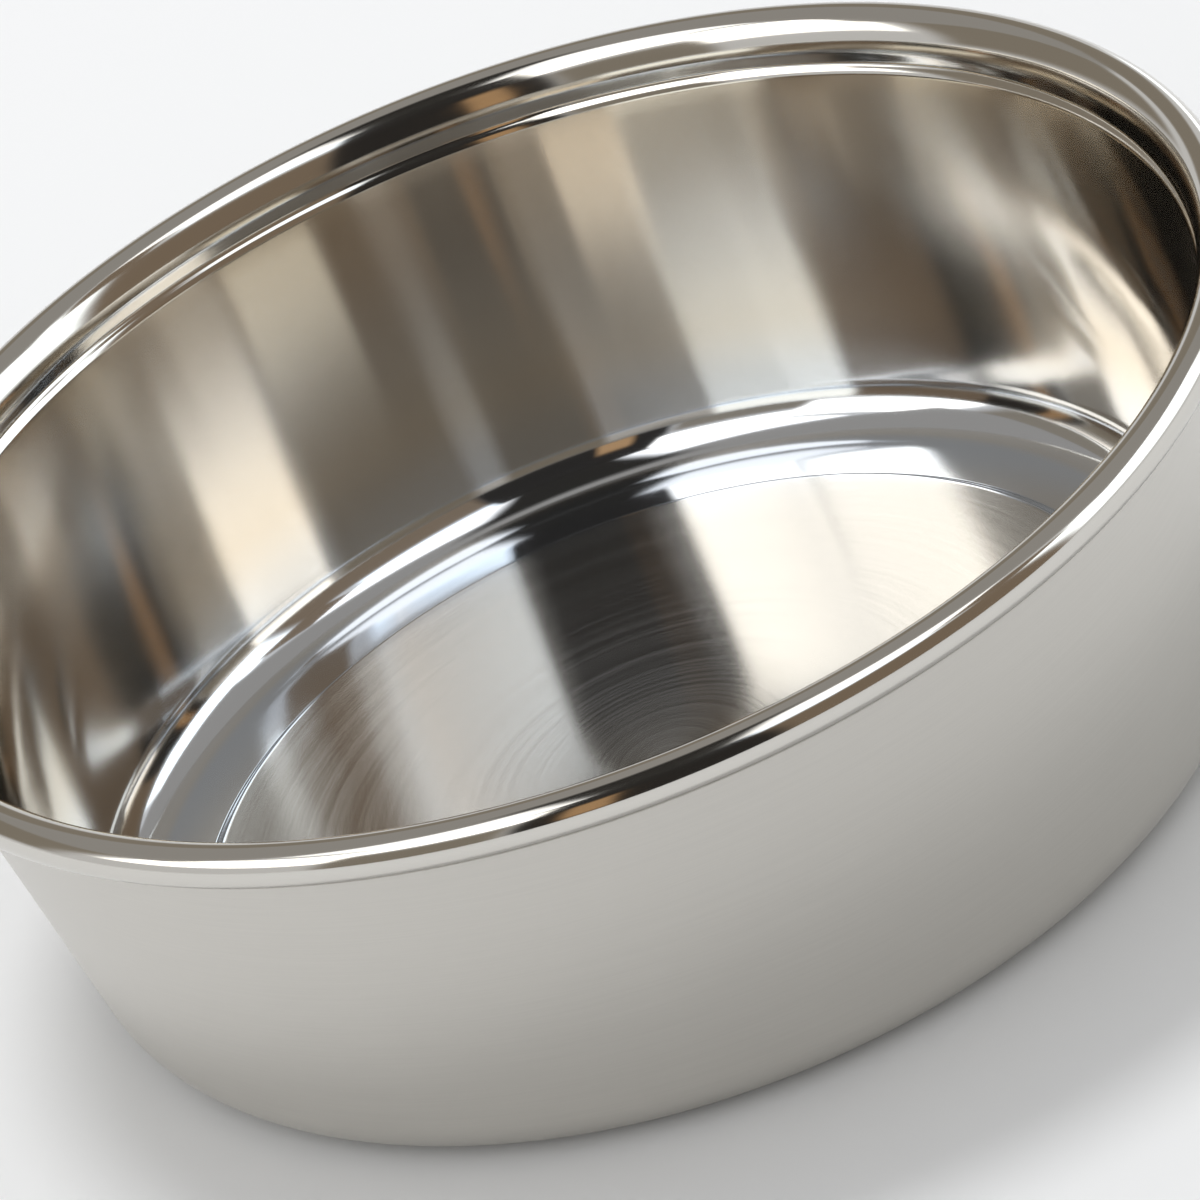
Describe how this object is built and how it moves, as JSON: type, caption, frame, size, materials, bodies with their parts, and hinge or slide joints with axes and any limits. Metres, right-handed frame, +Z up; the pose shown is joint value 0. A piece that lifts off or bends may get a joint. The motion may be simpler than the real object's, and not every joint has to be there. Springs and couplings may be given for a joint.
{
  "type": "cat bowl",
  "caption": "Round deep-drawn stainless steel cat bowl with a rolled rim, a slightly flared wall, a rounded corner and a raised flat floor panel.",
  "frame": {"origin": "middle of the plane that the bowl stands on, on its axis", "axes": "+Z up along the bowl's axis, from the foot to the rim; +X and +Y are free, because the bowl is round"},
  "size_m": [0.14, 0.14, 0.045],
  "materials": {
    "stainless_steel": "stainless steel: mirror-polished rolled rim, satin outside, softly polished inside wall, floor spun-brushed in circles"
  },
  "bodies": {
    "root": {"bowl": "stainless_steel"}
  },
  "joints": []
}
